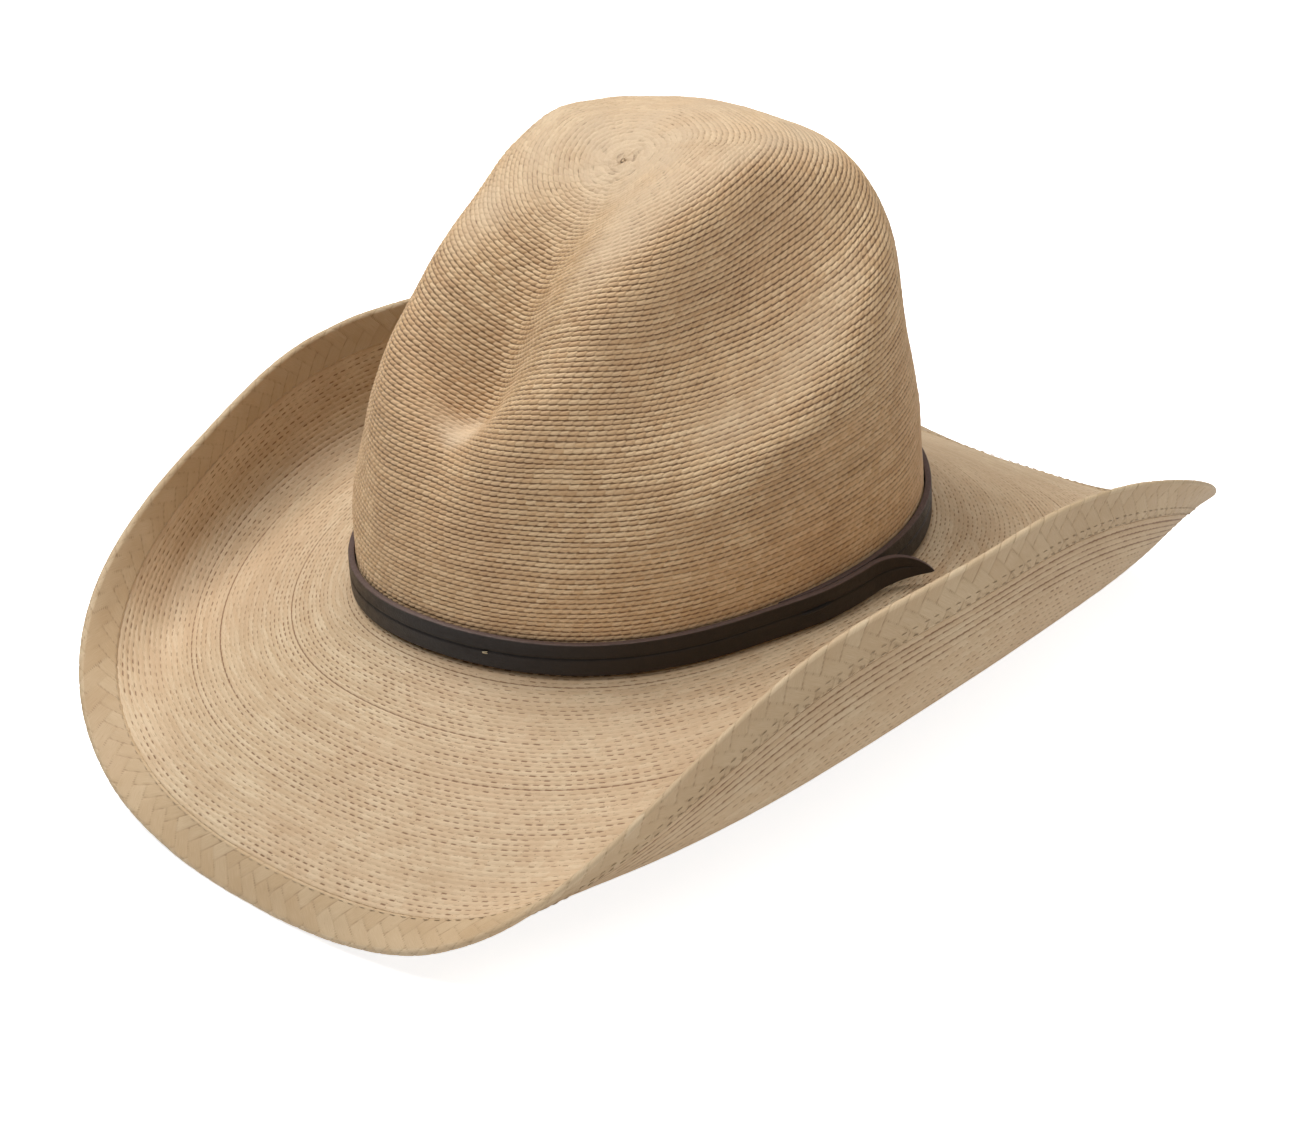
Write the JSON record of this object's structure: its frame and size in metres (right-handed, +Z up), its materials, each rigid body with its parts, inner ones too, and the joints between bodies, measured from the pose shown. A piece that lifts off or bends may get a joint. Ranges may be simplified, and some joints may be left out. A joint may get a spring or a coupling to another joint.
{
  "type": "cowboy hat",
  "caption": "Straw cowboy hat with a creased sewn-braid crown, rolled brim, edge braid, leather sweatband and a lift-off leather hatband with a loose tail.",
  "frame": {"origin": "middle of the hat's footprint, at the height of the lowest point of the brim; the centre of the head opening is 6.8 mm towards the front and 62.4 mm up from it", "axes": "+Z up, -Y is the wearer's front, +X is the wearer's left"},
  "size_m": [0.3194, 0.3853, 0.2127],
  "materials": {
    "straw_crown": "sewn palm braid, matt with a slight sheen",
    "straw_brim": "sewn palm braid, matt with a slight sheen",
    "straw_edge": "wide herringbone palm braid, slight sheen",
    "tape": "woven tape, matt",
    "reed": "plain",
    "sweat_leather": "smooth grain, satin",
    "ribbon": "ribbed ribbon, slight sheen",
    "thread": "twisted thread",
    "tag": "plain, blank",
    "band_leather": "dark brown, smooth, soft sheen"
  },
  "bodies": {
    "hat": {"crown_shell": "straw_crown", "brim": "straw_brim", "brim_edge_braid": "straw_edge", "reed_tape": "tape", "sweatband_reed": "reed", "sweatband": "sweat_leather", "sweatband_seam_patch": "sweat_leather", "sweatband_bow": "ribbon", "sweatband_stitching": "thread", "size_tag": "tag"},
    "hatband": {"hatband_strap": "band_leather", "hatband_tack": "thread"},
    "hatband_tail": {"hatband_tail": "band_leather"}
  },
  "joints": [
    {"name": "hatband_lift", "type": "slide", "parent": "hat", "child": "hatband", "axis": [0, 0, 1], "range_m": [0, 0.17]},
    {"name": "hatband_tail_flex", "type": "hinge", "parent": "hatband", "child": "hatband_tail", "pos_m": [0.0923, 0.01001, 0.0703], "axis": [0, 0, 1], "range_deg": [-40, 5]}
  ]
}
